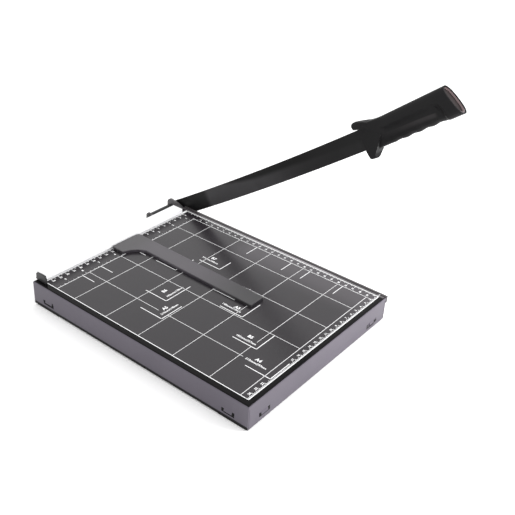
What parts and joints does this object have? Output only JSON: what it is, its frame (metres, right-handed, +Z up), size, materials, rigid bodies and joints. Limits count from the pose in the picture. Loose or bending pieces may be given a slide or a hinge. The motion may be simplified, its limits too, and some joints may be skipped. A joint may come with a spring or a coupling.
{
  "type": "guillotine paper cutter",
  "caption": "Lever paper cutter with a steel board, printed rulers and grid, back fence, sliding paper gauge, bed knife and a hinged bowed blade with a guarded moulded grip.",
  "frame": {"origin": "centre of the bounding box's bottom face, on the plane of the feet", "axes": "+Z up from the table, +Y from the front edge towards the fence, +X from the board towards the cut edge"},
  "size_m": [0.2736, 0.3984, 0.2909],
  "materials": {
    "board": "satin charcoal powder coat",
    "foot_rubber": "matt soft moulding",
    "white_lacquer": "smooth white lacquer",
    "black_lacquer": "satin black coating",
    "ground_steel": "ground bare steel",
    "zinc_steel": "zinc plated",
    "gauge_plastic": "fine matt grain",
    "grip_plastic": "satin black moulding",
    "cap_plastic": "satin brown-grey moulding"
  },
  "bodies": {
    "base": {"base_tray": "board", "deck_stiffener_1": "board", "deck_stiffener_2": "board", "bed_knife": "ground_steel", "fence_rail": "white_lacquer", "fence_end_stop": "black_lacquer", "pivot_bracket": "black_lacquer", "pivot_pin": "ground_steel", "inner_blade_washer": "zinc_steel", "outer_blade_washer": "zinc_steel", "spring_washer": "zinc_steel", "pressure_spring": "ground_steel", "lock_nut": "zinc_steel", "corner_foot_front_left": "foot_rubber", "corner_foot_front_right": "foot_rubber", "corner_foot_back_left": "foot_rubber", "corner_foot_back_right": "foot_rubber", "knife_screw_1": "zinc_steel", "knife_nut_1": "zinc_steel", "knife_screw_2": "zinc_steel", "knife_nut_2": "zinc_steel", "knife_screw_3": "zinc_steel", "knife_nut_3": "zinc_steel", "knife_screw_4": "zinc_steel", "knife_nut_4": "zinc_steel", "knife_screw_5": "zinc_steel", "knife_nut_5": "zinc_steel", "fence_rivet_1": "zinc_steel", "fence_rivet_2": "zinc_steel", "fence_rivet_3": "zinc_steel", "fence_rivet_4": "zinc_steel", "bracket_screw_1": "zinc_steel", "bracket_nut_1": "zinc_steel", "bracket_screw_2": "zinc_steel", "bracket_nut_2": "zinc_steel", "bracket_screw_3": "zinc_steel", "bracket_nut_3": "zinc_steel"},
    "arm": {"blade": "black_lacquer", "handle_grip": "grip_plastic", "handle_end_cap": "cap_plastic", "handle_dowel": "zinc_steel"},
    "gauge": {"gauge_plate": "gauge_plastic", "gauge_runner": "ground_steel", "gauge_rivet_1": "zinc_steel", "gauge_rivet_2": "zinc_steel"}
  },
  "joints": [
    {"name": "blade_hinge", "type": "hinge", "parent": "base", "child": "arm", "pos_m": [0.12137, 0.19301, 0.0254], "axis": [-1, 0, 0], "range_deg": [-32.5, 45]},
    {"name": "gauge_slide", "type": "slide", "parent": "base", "child": "gauge", "axis": [1, 0, 0], "range_m": [-0.098, 0.08]}
  ]
}
